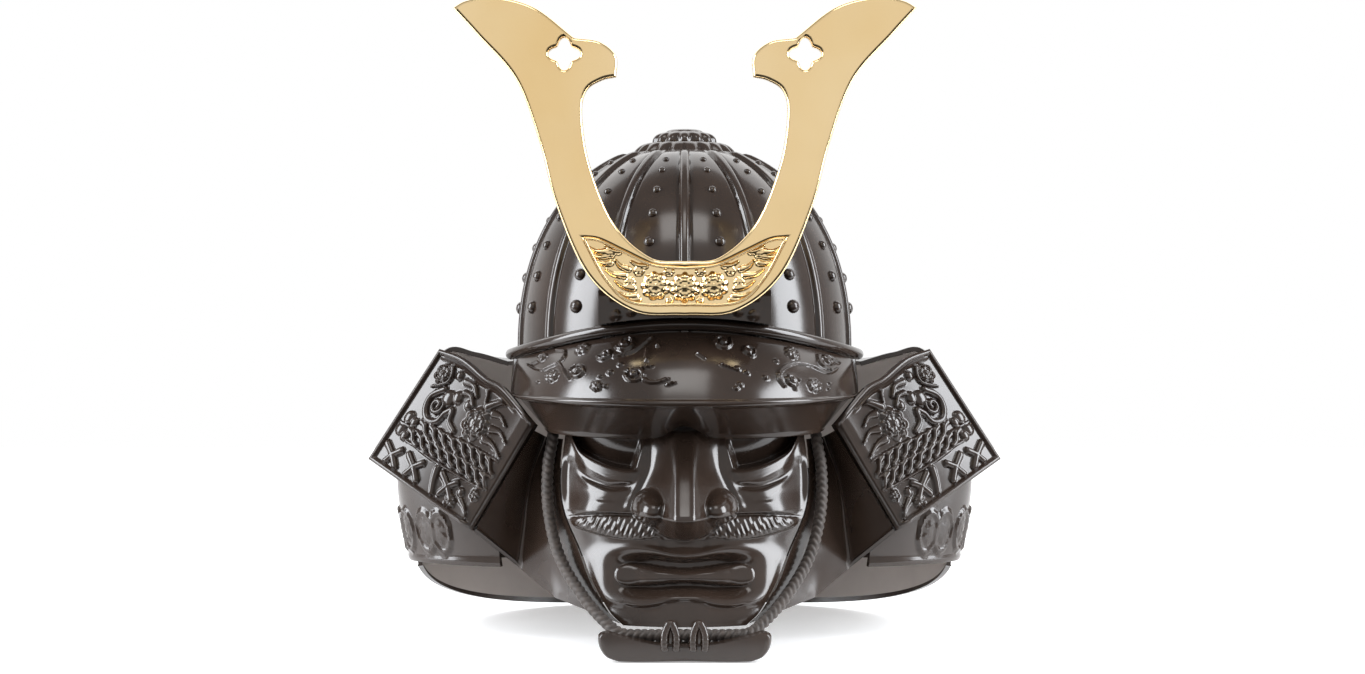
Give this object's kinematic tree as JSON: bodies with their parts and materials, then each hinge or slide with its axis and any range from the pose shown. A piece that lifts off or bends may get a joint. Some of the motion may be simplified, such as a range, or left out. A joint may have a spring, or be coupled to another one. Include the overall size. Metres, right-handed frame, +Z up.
{
  "type": "samurai helmet with face mask",
  "caption": "Dark lacquered Japanese helmet with ribbed bowl, flared neck guard, turned-back side plates, full face mask, chin cord and a tall gold horned crest.",
  "frame": {"origin": "centre of the bounding box at the surface the helmet stands on", "axes": "+Z up, the face looks toward -Y, +X toward the wearer's left"},
  "size_m": [0.4324, 0.3637, 0.4204],
  "materials": {
    "lacquer": "glossy dark brown-black lacquer",
    "gilding": "polished gold plating",
    "cord": "matte twisted cord"
  },
  "bodies": {
    "root": {"bowl": "lacquer", "finial_base": "lacquer", "finial_top": "lacquer", "rim_bead": "lacquer", "visor": "lacquer", "brow_band": "lacquer", "crest_holder": "lacquer", "turnback_left": "lacquer", "turnback_right": "lacquer", "neck_lame_upper": "lacquer", "neck_lame_middle": "lacquer", "neck_lame_lower": "lacquer", "mask": "lacquer", "jaw_guard_left": "lacquer", "jaw_guard_right": "lacquer", "chin_bar": "lacquer", "crest": "gilding", "chin_cord": "cord", "chin_knot_left": "cord", "chin_knot_right": "cord"}
  },
  "joints": []
}
